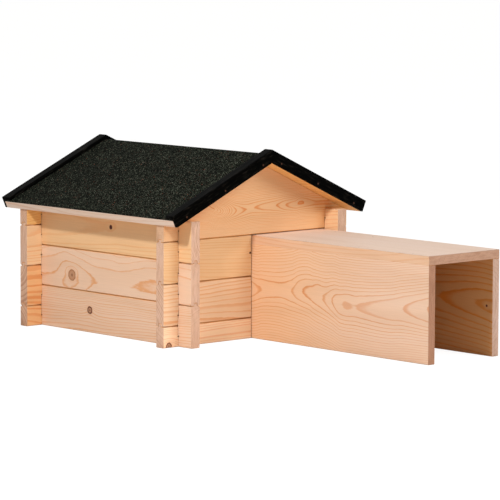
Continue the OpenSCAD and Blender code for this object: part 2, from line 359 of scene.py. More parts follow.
# Wood: growth rings are shells around the pith of the tree, so a board shows flames on its face,
# straight lines near its edges and arcs on its end. Place is (along the grain, height, depth).

ringSettings = {
    # How fast each pattern changes along the grain, up and through the board, its detail and its roughness
    "wander": (0.006, 0.022, 0.022, 1.5, 0.5), "ripple": (0.07, 0.25, 0.25, 2.0, 0.5),
    "fibre": (0.02, 1.3, 1.3, 3.0, 0.6), "tone": (0.004, 0.03, 0.03, 2.0, 0.5),
    "speck": (1.1, 1.5, 1.5, 2.0, 0.6), "streak": (0.02, 0.055, 0.34, 2.0, 0.5),
    "rippleShare": 0.2,   # of a ring's width
    "unevenPace": 0.09,   # how fast good and bad years follow each other
    "lateBefore": 0.06, "lateFull": 0.6, "lateEnd": 0.955,   # the summer wood, within a year
    "faintest": 0.5, "summerTint": 0.07,
}
ringLabels = ("ringWidth", "lateShare", "heart", "heartGrowth", "wander", "uneven", "seed")
patternLabels = ("fibre", "tone", "speck", "streak")


def makeRingGroup(settings):
    group, given, result = newGroup("growth_rings", ("pithHeight", "pithDepth", "lift", *ringLabels),
                                    ("late", *patternLabels))
    place = separate(group, given["place"])
    seedShift = combine(group, [given["seed"]] * 3)

    def pattern(name):
        along, height, depth, detail, roughness = settings[name]
        drawnOut = scaled(group, given["place"], along, height, depth)
        return noise(group, vectorCalc(group, "ADD", drawnOut, seedShift), detail, roughness)

    def sway(name, amount):
        return times(group, minus(group, pattern(name), 0.5), amount)

    fromPith = hypotenuse(group, minus(group, place[1], given["pithHeight"]),
                          minus(group, place[2], given["pithDepth"]))
    waver = plus(group, sway("wander", given["wander"]),
                 sway("ripple", times(group, given["ringWidth"], settings["rippleShare"])))
    radius = plus(group, plus(group, fromPith, waver), given["lift"])
    nearHeart = calc(group, "MAXIMUM", minus(group, given["heart"], radius), 0.0)
    radius = calc(group, "MULTIPLY_ADD", nearHeart, given["heartGrowth"], radius)   # young years grow wider
    uneven = noiseAlong(group, calc(group, "MULTIPLY_ADD", radius, settings["unevenPace"], given["seed"]))
    years = plus(group, calc(group, "DIVIDE", radius, given["ringWidth"]),
                 times(group, uneven, given["uneven"]))
    season = calc(group, "FRACT", years)
    start = minus(group, 1.0, given["lateShare"])
    full = calc(group, "MULTIPLY_ADD", given["lateShare"], settings["lateFull"], start)
    rise = stretch(group, season, minus(group, start, settings["lateBefore"]), full, smooth=True)
    fall = stretch(group, season, 1.0, settings["lateEnd"])
    strength = stretch(group, lotOf(group, calc(group, "FLOOR", years)), 0, 1, settings["faintest"], 1.0)
    late = times(group, times(group, rise, fall), strength)
    group.links.new(calc(group, "MULTIPLY_ADD", season, settings["summerTint"], late), result["late"])
    for name in patternLabels:
        group.links.new(pattern(name), result[name])
    return group


def fromMiddle(tree, given):
    # Distance from the middle of a knot or swelling, with the grain's direction drawn in
    place = separate(tree, given["place"])
    offset = calc(tree, "DIVIDE", minus(tree, place[0], given["along"]), given["stretch"])
    return hypotenuse(tree, offset, minus(tree, place[1], given["height"]))


def makeSwellGroup():
    # The rings swing round what grows inside the trunk
    group, given, result = newGroup("swelling", ("along", "height", "stretch", "reach", "push", "steep"),
                                    ("lift",))
    share = calc(group, "DIVIDE", fromMiddle(group, given), given["reach"])
    fade = times(group, calc(group, "POWER", share, given["steep"]), -1.0)
    group.links.new(times(group, given["push"], calc(group, "EXPONENT", fade)), result["lift"])
    return group


knotSettings = {
    "ripplePace": 0.22, "ripple": 0.32,   # how fast the outline sways, and by what share of the radius
    "edge": (1.05, 0.95), "halo": (1.8, 0.95), "rim": (0.55, 0.75),   # start and end, in shares of it too
    "pale": [(0.0, (104, 62, 38)), (0.12, (160, 112, 80)), (0.4, (194, 146, 112)), (0.75, (190, 140, 104)),
             (0.93, (166, 112, 76)), (1.0, (146, 92, 58))],
    "dark": [(0.0, (62, 16, 6)), (0.6, (88, 32, 14)), (1.0, (74, 24, 10))],
    "bark": (96, 42, 22),
    "years": 5.0, "yearly": [(0.0, 1.0), (0.6, 0.97), (0.9, 0.82), (1.0, 1.0)], "yearShare": 0.8,
}


def makeKnotGroup(settings):
    group, given, result = newGroup("knot", ("along", "height", "stretch", "radius", "darkness", "bark"),
                                    ("mask", "halo", "colour"))
    rough = noise(group, given["place"], scale=settings["ripplePace"])
    ripple = times(group, minus(group, rough, 0.5), settings["ripple"])
    share = plus(group, calc(group, "DIVIDE", fromMiddle(group, given), given["radius"]), ripple)
    group.links.new(stretch(group, share, *settings["edge"], smooth=True), result["mask"])
    group.links.new(stretch(group, share, *settings["halo"], smooth=True), result["halo"])
    rim = times(group, stretch(group, share, *settings["rim"], smooth=True), given["bark"])
    pale = blendColours(group, rim, ramp(group, share, settings["pale"]), paint(*settings["bark"]))
    body = blendColours(group, given["darkness"], pale, ramp(group, share, settings["dark"]))
    year = calc(group, "FRACT", times(group, share, settings["years"]))
    yearly = ramp(group, year, settings["yearly"])
    group.links.new(shaded(group, body, yearly, settings["yearShare"]), result["colour"])
    return group


ringGroup = makeRingGroup(ringSettings)
swellGroup = makeSwellGroup()
knotGroup = makeKnotGroup(knotSettings)


# Colours of the spring wood and the summer wood, then of both on a sawn end if it isn't the usual one
woodTones = {
    "warm": ((240, 203, 166), (226, 156, 100)),
    "light": ((250, 212, 168), (236, 164, 102)),
    # bright is painted light: the half board beside the tunnel is lifted against the shade there
    "bright": ((255, 220, 184), (241, 164, 108)),
    "gable": ((241, 195, 148), (227, 142, 74), (217, 176, 142), (188, 142, 108)),
    "side": ((236, 201, 173), (226, 162, 110), (220, 182, 156), (188, 144, 118)),
    "yellow": ((236, 194, 147), (224, 158, 98)),
    "orange": ((250, 197, 142), (232, 138, 66), (218, 178, 150), (190, 142, 114)),
    # amber is painted shade and warm bounce light: on the roof panels' undersides, the front gable's right
    # end and the rear gable's left end
    "shadeAmber": ((251, 203, 132), (228, 150, 74), (218, 178, 150), (190, 142, 114)),
    "tunnel": ((236, 197, 166), (220, 152, 102), (212, 180, 162), (190, 150, 128)),
    # shade is painted warm bounce light and shade near the front wall, on the tunnel's left board; its sawn
    # ends are darker as painted shade on the tunnel mouth
    "shade": ((236, 193, 154), (218, 146, 88), (188, 140, 112), (162, 112, 84)),
    "blush": ((236, 201, 174), (220, 152, 108)),
    # board's sawn ends are darker as painted shade on the tunnel mouth
    "board": ((231, 190, 157), (222, 164, 122), (202, 160, 134), (178, 132, 106)),
    # pale is the planed edge's own colour; on the tunnel top's upper face it is partly painted sheen
    "pale": ((224, 199, 181), (206, 164, 134), (202, 162, 136), (178, 134, 108)),
    # rough is for the rough-sawn inner faces; its dark, deep orange is partly painted shade and warm bounce
    # light inside the tunnel
    "rough": ((216, 164, 112), (208, 124, 18)),
}
usualEnd = ((222, 184, 158), (192, 146, 120))
# What a board's figure has unless it says otherwise
usualFigure = {"lateShare": 0.34, "heart": 24, "heartGrowth": 0.4, "wander": 8, "uneven": 1.6,
               "contrast": 0.85, "endContrast": 1.0}
usualSwell = {"stretch": 1.0, "steep": 2.0}
usualKnot = {"stretch": 1.0, "darkness": 0.0, "bark": 0.0}

# The finish of all the wood, whatever its tone and figure. A pair without a note is where a change
# starts and ends.
woodSettings = {
    "turned": (0.6, 0.8),   # how squarely a face looks one way
    "speckTint": [(0.3, 0.95), (0.7, 1.03)],
    "streakTint": [(0.36, (0.9, 0.86, 0.84, 1)), (0.52, 1.0), (0.66, 1.04)],
    "sawTint": [(0.05, (0.74, 0.7, 0.66, 1)), (0.3, (1.12, 1.11, 1.1, 1))], "sawWaver": 1.5,
    "fibreTint": [(0.3, 0.95), (0.7, 1.04)],
    "toneTint": [(0.3, (0.95, 0.93, 0.91, 1)), (0.5, 1.0), (0.7, (1.0, 1.02, 1.06, 1))],
    # The joint tint is painted shade and warm bounce light in the grooves between boards
    "jointFace": (0.25, 0.6), "jointTop": (201, 199), "jointShadeTint": (0.92, 0.74, 0.48, 1),
    "notchFace": (0.95, 0.6), "notchFoot": (0.9, 1.2), "notchReach": (12.0, 11.6),
    # The notch tint is painted shade inside the notches
    "notchShadeTint": (0.36, 0.16, 0.06, 1),
    "haloShare": 0.3,
    "roughness": (0.64, 0.52),   # of spring and summer wood
    "levels": {"Specular IOR Level": 0.3},
    "fibreRelief": 0.7, "sawnRelief": 1.6, "bump": (0.4, 0.00012),   # strength and depth, as for all bumps
}


def curveAlong(tree, along, points, column, room=1.0):
    # A line drawn along the board, through the given points, with some room below and above it
    low, high = points[0][0], points[-1][0]
    values = [point[column] for point in points]
    bottom, top = min(values) - room, max(values) + room
    node = tree.nodes.new("ShaderNodeFloatCurve")
    line = node.mapping.curves[0]
    while len(line.points) < len(points):
        line.points.new(0.5, 0.5)
    for handle, point in zip(line.points, points):
        handle.location = ((point[0] - low) / (high - low), (point[column] - bottom) / (top - bottom))
        handle.handle_type = "AUTO_CLAMPED"
    node.mapping.extend = "HORIZONTAL"
    node.mapping.update()
    tree.links.new(stretch(tree, along, low, high), node.inputs["Value"])
    return stretch(tree, node.outputs[0], 0, 1, bottom, top)


def twoTone(tree, share, tone, onEnd=False):
    # Spring wood and summer wood of one tone, by how much the summer wood shows
    spring, summer = (woodTones[tone] + usualEnd)[2:4] if onEnd else woodTones[tone][:2]
    return blendColours(tree, share, paint(*spring), paint(*summer))


def growWood(tree, board, place):
    inBoard = combine(tree, place)
    lift = 0.0
    for swell in board.get("swells", []):
        lift = plus(tree, lift, useGroup(tree, swellGroup, inBoard, {**usualSwell, **swell})["lift"])
    knots = [useGroup(tree, knotGroup, inBoard, {**usualKnot, **knot}) for knot in board.get("knots", [])]
    rings = useGroup(tree, ringGroup, inBoard, {
        **{label: board[label] for label in ringLabels}, "lift": lift,
        "pithHeight": curveAlong(tree, place[0], board["pith"], 1),
        "pithDepth": curveAlong(tree, place[0], board["pith"], 2)})
    return rings, knots


def colourPlaned(tree, board, place, facing, rings, settings):
    showing = times(tree, rings["late"], board["contrast"])
    if "bold" in board:
        # The figure stands out in one band of the board and is faint beyond it
        bold = board["bold"]
        away = absolute(tree, minus(tree, place[1], bold["height"]))
        faint = stretch(tree, away, bold["near"], bold["far"], 1.0, bold["rest"])
        showing = times(tree, showing, faint)
    colour = twoTone(tree, showing, board["tone"])
    if "fade" in board:
        # The wood turns another tone towards one end; on the gables and the tunnel's left board this is
        # painted shade and warm bounce light
        fade = board["fade"]
        share = stretch(tree, place[0], fade["from"], fade["to"], smooth=True)
        colour = blendColours(tree, share, colour, twoTone(tree, showing, fade["tone"]))
    for side, tone in board.get("sideTones", {}).items():
        # A side, -1 or 1 along the depth, with colours of its own: painted shade on faces inside the tunnel
        # and under the roof, and on the tunnel top a paler upper face that is partly painted sheen
        share = stretch(tree, facing[2], *(side * limit for limit in settings["turned"]))
        colour = blendColours(tree, share, colour, twoTone(tree, showing, tone))
    return colour


def colourSawn(tree, board, place, rings, settings):
    showing = times(tree, rings["late"], board["endContrast"])
    colour = twoTone(tree, showing, board["tone"], onEnd=True)
    colour = tinted(tree, colour, rings["speck"], settings["speckTint"])
    colour = tinted(tree, colour, rings["streak"], settings["streakTint"])
    if "sawPitch" in board:
        # Slanting lines that the saw has left
        slant = calc(tree, "DIVIDE", plus(tree, place[1], place[2]), board["sawPitch"])
        waver = calc(tree, "MULTIPLY_ADD", rings["tone"], settings["sawWaver"], slant)
        colour = tinted(tree, colour, calc(tree, "PINGPONG", waver, 0.5), settings["sawTint"])
    return colour


def shadeCuts(tree, board, colour, place, facing, settings):
    # Painted shade and warm bounce light in the milled joints, all of which are lower down than the tops of
    # the walls
    lowDown = stretch(tree, place[1], *settings["jointTop"])
    level = stretch(tree, absolute(tree, facing[1]), *settings["jointFace"])
    jointShade = times(tree, level, lowDown)
    colour = blendColours(tree, jointShade, colour, shaded(tree, colour, settings["jointShadeTint"]))
    if "crossings" in board:
        # Painted shade inside the notches where the walls cross, which end above the ground
        away = [absolute(tree, minus(tree, place[0], middle)) for middle in board["crossings"]]
        notchShade = lowDown
        for value, limits in ((calc(tree, "MINIMUM", *away), settings["notchReach"]),
                              (absolute(tree, facing[2]), settings["notchFace"]),
                              (place[1], settings["notchFoot"])):
            notchShade = times(tree, notchShade, stretch(tree, value, *limits))
        colour = blendColours(tree, notchShade, colour, shaded(tree, colour, settings["notchShadeTint"]))
    return colour


def makeWood(name, figure, settings):
    board = {**usualFigure, **figure}
    material, tree, inputs = newMaterial(name, settings["levels"])
    coordinates = addNode(tree, "TexCoord")
    place, facing = coordinates["Object"], coordinates["Normal"]
    if board.get("tilt"):
        place, facing = (turnedLevel(tree, value, board["tilt"]) for value in (place, facing))
    # From here on along the grain, up and through the board, the place in millimetres
    place = separate(tree, scaled(tree, place, 1000))
    facing = separate(tree, facing)
    place, facing = ([value[axis] for axis in board["axes"]] for value in (place, facing))

    rings, knots = growWood(tree, board, place)
    sawnShare = stretch(tree, absolute(tree, facing[0]), *settings["turned"])
    colour = blendColours(tree, sawnShare, colourPlaned(tree, board, place, facing, rings, settings),
                          colourSawn(tree, board, place, rings, settings))
    if board["axes"] != acrossTop:
        colour = shadeCuts(tree, board, colour, place, facing, settings)
    colour = tinted(tree, colour, rings["fibre"], settings["fibreTint"])
    colour = tinted(tree, colour, rings["tone"], settings["toneTint"])
    for knot in knots:
        halo = times(tree, knot["halo"], settings["haloShare"])
        around = blendColours(tree, halo, colour, paint(*woodTones[board["tone"]][1]))
        colour = blendColours(tree, knot["mask"], around, knot["colour"])
    tree.links.new(colour, inputs["Base Color"])
    tree.links.new(stretch(tree, rings["late"], 0, 1, *settings["roughness"]), inputs["Roughness"])

    sawnRelief = times(tree, sawnShare, settings["sawnRelief"])
    relief = calc(tree, "MULTIPLY_ADD", rings["fibre"], settings["fibreRelief"], rings["late"])
    relief = plus(tree, relief, times(tree, rings["speck"], sawnRelief))
    addBump(tree, inputs, relief, *settings["bump"])
    return material


# Boards: each keeps its milled shape from the frame, with the sharp edges eased by the plane

boardSettings = {
    "seam": 0.00001, "flat": 0.5,   # how the frame's triangles are joined
    "arris": 0.0007, "arrisSteps": 2, "shortest": 0.004, "sharp": 25, "faceWeight": 80,
    "inner": -60,   # the angle past which an edge is an inner corner
    "boreRadii": (0.0011, 0.0019), "boreSides": 12, "boreLength": 0.03, "boreSeed": 70,
}
# The axes along the grain, up and through a board
alongX, alongY, acrossTop = (0, 2, 1), (1, 2, 0), (1, 0, 2)


def boreNotches(piece, depth, chance, settings):
    # The cutter leaves a small hole at each inner corner of a notch, which shows where two walls cross
    work = bmesh.new()
    work.from_mesh(piece.data)
    corners = []
    for edge in work.edges:
        if len(edge.link_faces) == 2 and edge.calc_face_angle_signed() < math.radians(settings["inner"]):
            first, last = (vertex.co for vertex in edge.verts)
            if abs(first[depth] - last[depth]) > settings["shortest"]:
                corners.append((first + last) / 2)
    work.free()
    if not corners:
        return
    deselect()
    turn = (math.pi / 2, 0, 0) if depth == 1 else (0, math.pi / 2, 0)
    bpy.ops.mesh.primitive_cylinder_add(vertices=settings["boreSides"], radius=1,
                                        depth=settings["boreLength"], rotation=turn)
    bpy.ops.object.transform_apply(location=True, rotation=True, scale=True)
    bore = bpy.context.active_object
    bores = bpy.data.meshes.new("bores")
    cut = bmesh.new()
    for corner in corners:
        size = [chance.uniform(*settings["boreRadii"])] * 3
        size[depth] = 1
        one = bore.data.copy()
        one.transform(Matrix.Translation(corner) @ Matrix.Diagonal((*size, 1)))
        cut.from_mesh(one)
        bpy.data.meshes.remove(one)
    cut.to_mesh(bores)
    cut.free()
    bore.data = bores
    applyModifier(piece, "BOOLEAN", operation="DIFFERENCE", object=bore, solver="EXACT")
    bpy.data.objects.remove(bore)


def grainAxis(nodeName):
    low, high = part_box(nodeName)
    return 0 if high.x - low.x > high.y - low.y else 1


def axesOf(nodeName):
    return alongX if grainAxis(nodeName) == 0 else alongY


def easedCopy(nodeName, pieceName, settings, chance=None):
    piece = nodes[nodeName].copy()
    piece.data = nodes[nodeName].data.copy()
    piece.name = pieceName
    for key in list(piece.keys()):
        del piece[key]
    piece.parent = None
    addToScene(piece)
    selectOnly(piece)
    bpy.ops.object.mode_set(mode="EDIT")
    bpy.ops.mesh.select_all(action="SELECT")
    bpy.ops.mesh.remove_doubles(threshold=settings["seam"])
    bpy.ops.mesh.dissolve_limited(angle_limit=math.radians(settings["flat"]))
    bpy.ops.mesh.select_mode(type="EDGE")
    bpy.ops.mesh.select_all(action="DESELECT")
    work = bmesh.from_edit_mesh(piece.data)
    for edge in work.edges:
        if len(edge.link_faces) == 2 and edge.is_convex and edge.calc_length() > settings["shortest"]:
            edge.select_set(edge.calc_face_angle(0) > math.radians(settings["sharp"]))
    bmesh.update_edit_mesh(piece.data)
    bpy.ops.mesh.bevel(offset=settings["arris"], segments=settings["arrisSteps"], affect="EDGES")
    bpy.ops.object.mode_set(mode="OBJECT")
    if chance:
        boreNotches(piece, 1 - grainAxis(nodeName), chance, settings)
        selectOnly(piece)
    bpy.ops.object.shade_smooth()
    applyModifier(piece, "WEIGHTED_NORMAL", keep_sharp=False, weight=settings["faceWeight"])
    return piece


# The pith runs through (along, height, depth). Depth is the frame's own coordinate across the board.
figures = {
    "left_wall_board_1": {
        "tone": "side", "ringWidth": 2.9, "wander": 7, "seed": 3.1,
        "pith": [(-40, -30, -118), (200, -26, -110), (420, -22, -104)],
        "swells": [{"along": 230, "height": 40, "reach": 15, "push": -4}],
        "knots": [{"along": 230, "height": 38.5, "radius": 6.6, "bark": 1.0, "darkness": 0.12}]},
    "left_wall_board_2": {
        "tone": "side", "ringWidth": 2.0, "lateShare": 0.15, "wander": 0.35, "uneven": 0, "contrast": 0.88,
        "seed": 7.4,
        "pith": [(-32, 94, 43.3), (8, 94, 43), (58, 94, 42.2), (112, 89.5, 42.5), (145, 87, 42.9),
                 (181, 92, 43.3), (216, 91, 43.1), (232, 90.5, 42.6), (248, 89, 41.7), (262, 87.5, 40.8),
                 (278, 87, 40), (294, 89, 39.6), (308, 90, 40), (322, 91.5, 40.7), (360, 89.5, 41.3),
                 (412, 80, 42.5)],
        "swells": [{"along": 278, "height": 103, "reach": 8.5, "stretch": 1.8, "push": -2.6},
                   {"along": 231, "height": 86, "reach": 21, "stretch": 2.4, "push": -0.7, "steep": 4},
                   {"along": 333, "height": 106, "reach": 25, "stretch": 2.2, "push": 1.8}],
        "knots": [{"along": 278, "height": 94.5, "radius": 9.6}]},
    "left_wall_board_3": {
        "tone": "yellow", "ringWidth": 3.4, "lateShare": 0.3, "wander": 5, "contrast": 0.6, "seed": 1.7,
        "pith": [(-40, 186, -106), (420, 178, -112)],
        "swells": [{"along": 174, "height": 185, "reach": 10, "push": -1.2}],
        "knots": [{"along": 174, "height": 185, "radius": 3.9, "darkness": 1.0}]},
    "front_left_half_board": {
        "tone": "bright", "ringWidth": 4.2, "wander": 5, "contrast": 0.75, "seed": 5.2,
        "pith": [(-210, -56, 70), (0, -48, 74)],
        "swells": [{"along": -196, "height": 3, "reach": 18, "push": -9}],
        "knots": [{"along": -196, "height": 3, "radius": 6.2, "darkness": 0.1, "bark": 0.8}]},
    "front_left_board_2": {
        "tone": "warm", "ringWidth": 4.2, "wander": 6, "contrast": 0.72, "seed": 9.3,
        "pith": [(-210, 2, 98), (0, 16, 104)]},
    "front_left_board_3": {
        "tone": "yellow", "ringWidth": 2.4, "wander": 5, "contrast": 0.55, "seed": 2.8,
        "pith": [(-210, 60, 140), (0, 68, 150)],
        "swells": [{"along": -16, "height": 145, "reach": 6, "push": -1.5}],
        "knots": [{"along": -16, "height": 145, "radius": 2.0, "darkness": 1.0}]},
    "front_gable_panel": {
        "tone": "gable", "ringWidth": 2, "lateShare": 0.3, "wander": 0.5, "uneven": 0, "heart": 0,
        "contrast": 1.0, "seed": 4.6, "bold": {"height": 222, "near": 18, "far": 46, "rest": 0.4},
        # The fade to amber at the right end is painted shade and warm bounce light under the roof
        "fade": {"tone": "shadeAmber", "from": 80, "to": 300},
        "pith": [(-210, 226, 14), (-125, 231, 4), (-102, 226, 1.5), (-90, 221.5, 3.5), (-75, 219, 8.5),
                 (-62, 219, 14), (-47, 218, 17.9), (-24, 219, 20), (-16, 220, 20.2), (-9, 220.5, 20),
                 (10, 221, 19.2), (43, 221, 17.9), (65, 220.5, 15.9), (86, 220, 14.6), (100, 222.5, 13.6),
                 (112, 222, 14.3), (140, 220, 15.5), (210, 219, 15)]},
    "rear_wall_board_2": {
        "tone": "orange", "ringWidth": 9, "lateShare": 0.5, "contrast": 0.68, "seed": 14.2,
        "fade": {"tone": "warm", "from": -150, "to": -60},
        "pith": [(-210, 112, 396), (0, 104, 402), (210, 108, 398)]},
    "rear_half_board": {
        "tone": "orange", "ringWidth": 6, "lateShare": 0.4, "contrast": 0.7, "seed": 16.9,
        "fade": {"tone": "warm", "from": -150, "to": -60},
        "pith": [(-210, -22, 420), (0, -30, 428), (210, -26, 424)]},
    "rear_wall_board_3": {
        "tone": "light", "ringWidth": 3.1, "wander": 4, "contrast": 0.6, "seed": 18.3,
        "pith": [(-210, 176, 262), (0, 168, 256), (210, 172, 268)]},
    "rear_gable_panel": {
        # The amber at the left end is painted shade and warm bounce light under the roof
        "tone": "shadeAmber", "ringWidth": 2.8, "wander": 4, "contrast": 0.7, "seed": 19.5,
        "fade": {"tone": "gable", "from": -170, "to": -90},
        "pith": [(-210, 236, 318), (0, 246, 308), (210, 232, 324)]},
    "tunnel_left_board": {
        "tone": "shade", "ringWidth": 3.4, "lateShare": 0.22, "wander": 2.2, "uneven": 0, "heart": 44.2,
        "heartGrowth": 0.35, "contrast": 0.9, "endContrast": 0.45, "seed": 6.5, "sawPitch": 2.9,
        # Painted light and shade: the rough inner face for the shade inside the tunnel, and the shade tone
        # by the wall for bounce light off the front wall, fading to blush towards the mouth
        "sideTones": {1: "rough"}, "fade": {"tone": "blush", "from": -40, "to": -330},
        "pith": [(-417, 89, 21.7), (-358, 84, 27.2), (-319, 79, 29.1), (-275, 77.5, 31.4),
                 (-262, 77.5, 31.9), (-247, 77.5, 32.5), (-231, 77.5, 32.1), (-218, 77.5, 32.7),
                 (-207, 79.5, 33.8), (-196, 82, 35.8), (-177, 83.5, 39.2), (-150, 88, 41.4),
                 (-123, 92.5, 43.9), (-96, 90, 48.7), (-60, 89, 53), (-25, 86.5, 54.3), (0, 82, 52.7),
                 (44, 82, 43.2)],
        "swells": [{"along": -162, "height": 108, "reach": 12, "push": -1.6},
                   {"along": 0, "height": 87, "reach": 40, "stretch": 2.2, "push": -9}]},
    "tunnel_right_board": {
        "tone": "tunnel", "ringWidth": 6.5, "lateShare": 0.32, "heart": 0, "uneven": 0, "wander": 3,
        # The rough inner face is partly painted shade inside the tunnel
        "contrast": 0.8, "endContrast": 0.45, "sideTones": {-1: "rough"}, "seed": 8.8, "sawPitch": 2.5,
        "pith": [(-417, 81, 98.2), (-381, 85, 96), (-294, 88, 89.5), (-200, 90, 86), (44, 84, 81)],
        "swells": [{"along": -404, "height": 82, "reach": 7, "push": -1.5}],
        "knots": [{"along": -404, "height": 82, "radius": 2.1, "darkness": 1.0}]},
    "tunnel_top_board": {
        "tone": "board", "axes": acrossTop, "ringWidth": 3.2, "wander": 2, "contrast": 0.5, "seed": 12.2,
        # Painted light and shade: the rough underside for the shade inside the tunnel, and the pale upper
        # face partly a painted sheen
        "sideTones": {-1: "rough", 1: "pale"}, "endContrast": 0.6, "sawPitch": 2.7,
        "pith": [(-417, 190, 60), (-200, 198, 56), (44, 194, 53)],
        "knots": [{"along": -150, "height": 125, "stretch": 1.5, "radius": 1.3, "darkness": 0.6},
                  {"along": -36, "height": 9.5, "radius": 1.2, "darkness": 0.6}]},
    "right_wall_board_3": {
        "tone": "light", "ringWidth": 2.6, "wander": 4, "contrast": 0.6, "seed": 21.3,
        "pith": [(-40, 150, 60), (200, 146, 52), (420, 152, 56)]},
}


# Boards that show no special figure in the photograph get one from these ranges
plainSettings = {
    "ringWidths": (1.9, 3.4), "wanders": (2.5, 5), "contrasts": (0.5, 0.8),
    "heights": (-70, 70), "depths": (70, 190),   # of the pith, up and inwards
    "rise": (-5, 5), "farRise": (-8, 8), "turn": 6, "farTurn": (-14, 14),   # by the middle and the far end
    "firstSeed": 20, "seedStep": 3.7,
}


def plainFigure(nodeName, count, settings):
    chance = random.Random(count)
    axes = axesOf(nodeName)
    start, end = (1000 * corner[axes[0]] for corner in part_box(nodeName))
    middle = [1000 * middleOf(nodeName, axis) for axis in axes]
    outward = math.copysign(1, middle[2] - 1000 * houseMiddle[axes[2]])
    height = middle[1] + chance.uniform(*settings["heights"])
    depth = middle[2] - outward * chance.uniform(*settings["depths"])
    return {
        "tone": "warm" if axes == alongX else "side",
        "ringWidth": chance.uniform(*settings["ringWidths"]),
        "wander": chance.uniform(*settings["wanders"]), "contrast": chance.uniform(*settings["contrasts"]),
        "seed": settings["firstSeed"] + settings["seedStep"] * count,
        "pith": [(start, height, depth),
                 ((start + end) / 2, height + chance.uniform(*settings["rise"]), depth + settings["turn"]),
                 (end, height + chance.uniform(*settings["farRise"]),
                  depth - chance.uniform(*settings["farTurn"]))],
    }


def slopeOf(nodeName):
    # The steepness of the widest upper face, as an angle about the Y axis
    widest = max((face for face in nodes[nodeName].data.polygons if face.normal.z > 0),
                 key=lambda face: face.area)
    return math.atan2(widest.normal.x, widest.normal.z)


panelSettings = {
    # The amber underside is painted shade and warm bounce light under the eaves
    "figure": {"tone": "pale", "sideTones": {-1: "shadeAmber"}, "axes": acrossTop, "ringWidth": 4.2, "wander": 7,
               "contrast": 0.6},
    "pith": [(-20, -50), (-12, -42), (-28, -58)],   # from the panel's middle, across and up
    "firstSeed": 30,
}


def panelFigure(nodeName, count, settings):
    # A roof panel is turned level first, so that its rings can be drawn as in a flat board
    slope = slopeOf(nodeName)
    low, high = (1000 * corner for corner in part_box(nodeName))
    middle = Matrix.Rotation(-slope, 3, "Y") @ ((low + high) / 2)
    pith = [(along, middle.x + across, middle.z + up)
            for along, (across, up) in zip((low.y, middle.y, high.y), settings["pith"])]
    return {**settings["figure"], "tilt": -slope, "seed": settings["firstSeed"] + count, "pith": pith}


# Where the walls cross, along the boards of each direction
crossings = {
    alongX: [1000 * middleOf(name, 0) for name in ("left_wall_board_2", "right_wall_board_2")],
    alongY: [1000 * middleOf(name, 1) for name in ("front_left_board_2", "rear_wall_board_2")],
}
woodenNodes = [name for name in sorted(nodes) if slotOf[name].endswith("spruce")]
for count, nodeName in enumerate(woodenNodes):
    chance = random.Random(boardSettings["boreSeed"] + count) if bodyOf[nodeName] == "house" else None
    board = easedCopy(nodeName, "planed_" + nodeName, boardSettings, chance)
    if nodeName.startswith("roof_panel"):
        figure = panelFigure(nodeName, count, panelSettings)
    else:
        figure = figures.get(nodeName) or plainFigure(nodeName, count, plainSettings)
    figure = {"axes": axesOf(nodeName), **figure}
    if chance and nodeName != "opening_batten":
        figure["crossings"] = crossings[figure["axes"]]
    giveFinish(board, makeWood("spruce_" + nodeName, figure, woodSettings))
    standFor(board, nodeName)
print("boards planed:", len(woodenNodes))


# Roofing felt: one sheet folded over the ridge, with mineral granules pressed into it

feltSettings = {
    "thickness": 0.002, "foldRadius": 0.008, "foldSteps": 6,
    "edge": 0.0004, "edgeSteps": 2, "edgeAngle": 60, "smoothUnder": 30,
    "onRidge": 0.0001,   # how near the ridge line a point counts as on it
    "granule": 1.2,   # millimetres from one granule to the next
    "granules": [(0.0, (2, 3, 2)), (0.4, (11, 14, 10)), (0.7, (29, 33, 26)), (0.88, (64, 69, 58)),
                 (1.0, (116, 120, 104))],
    "reddish": (112, 60, 44), "reddishAbove": 0.99, "reddishShare": 0.7,
    # Wide and narrow patches: how fast they change, their detail and their shades
    "patches": [(0.04, 3.0, [(0.3, 0.82), (0.7, 1.12)]), (0.6, 1.0, [(0.3, 0.62), (0.7, 1.45)])],
    "seam": (0.25, 0.75, 1.0, 0.35),   # shade from a granule's middle to its seam
    "levels": {"Roughness": 0.85, "Specular IOR Level": 0.02}, "bump": (0.8, 0.0005),
}

chippingSettings = {
    "count": 5200, "sizes": (0.00045, 0.00085), "flatness": 0.6, "seed": 41,
    "lengths": (0.75, 1.3), "jags": (0.75, 1.1),   # shares of the size
    "eaveMargin": 0.002, "trimMargin": 0.001,
    "colours": [(0.0, (14, 16, 12)), (0.5, (34, 37, 30)), (0.85, (84, 86, 74)), (0.965, (118, 118, 104)),
                (0.98, (132, 70, 48)), (1.0, (150, 88, 62))],
    "levels": {"Roughness": 0.75, "Specular IOR Level": 0.05},
}


def measureFelt():
    # The sheet's underside, as the frame has it: ridge height, slope and length down the slope
    corners = [vertex.co for vertex in nodes["roof_felt"].data.vertices]
    ridge = min(corner.z for corner in corners if abs(corner.x) < feltSettings["onRidge"])
    eave = min(corners, key=lambda corner: corner.z)
    across, drop = abs(eave.x), ridge - eave.z
    return ridge, math.atan2(drop, across), math.hypot(across, drop)


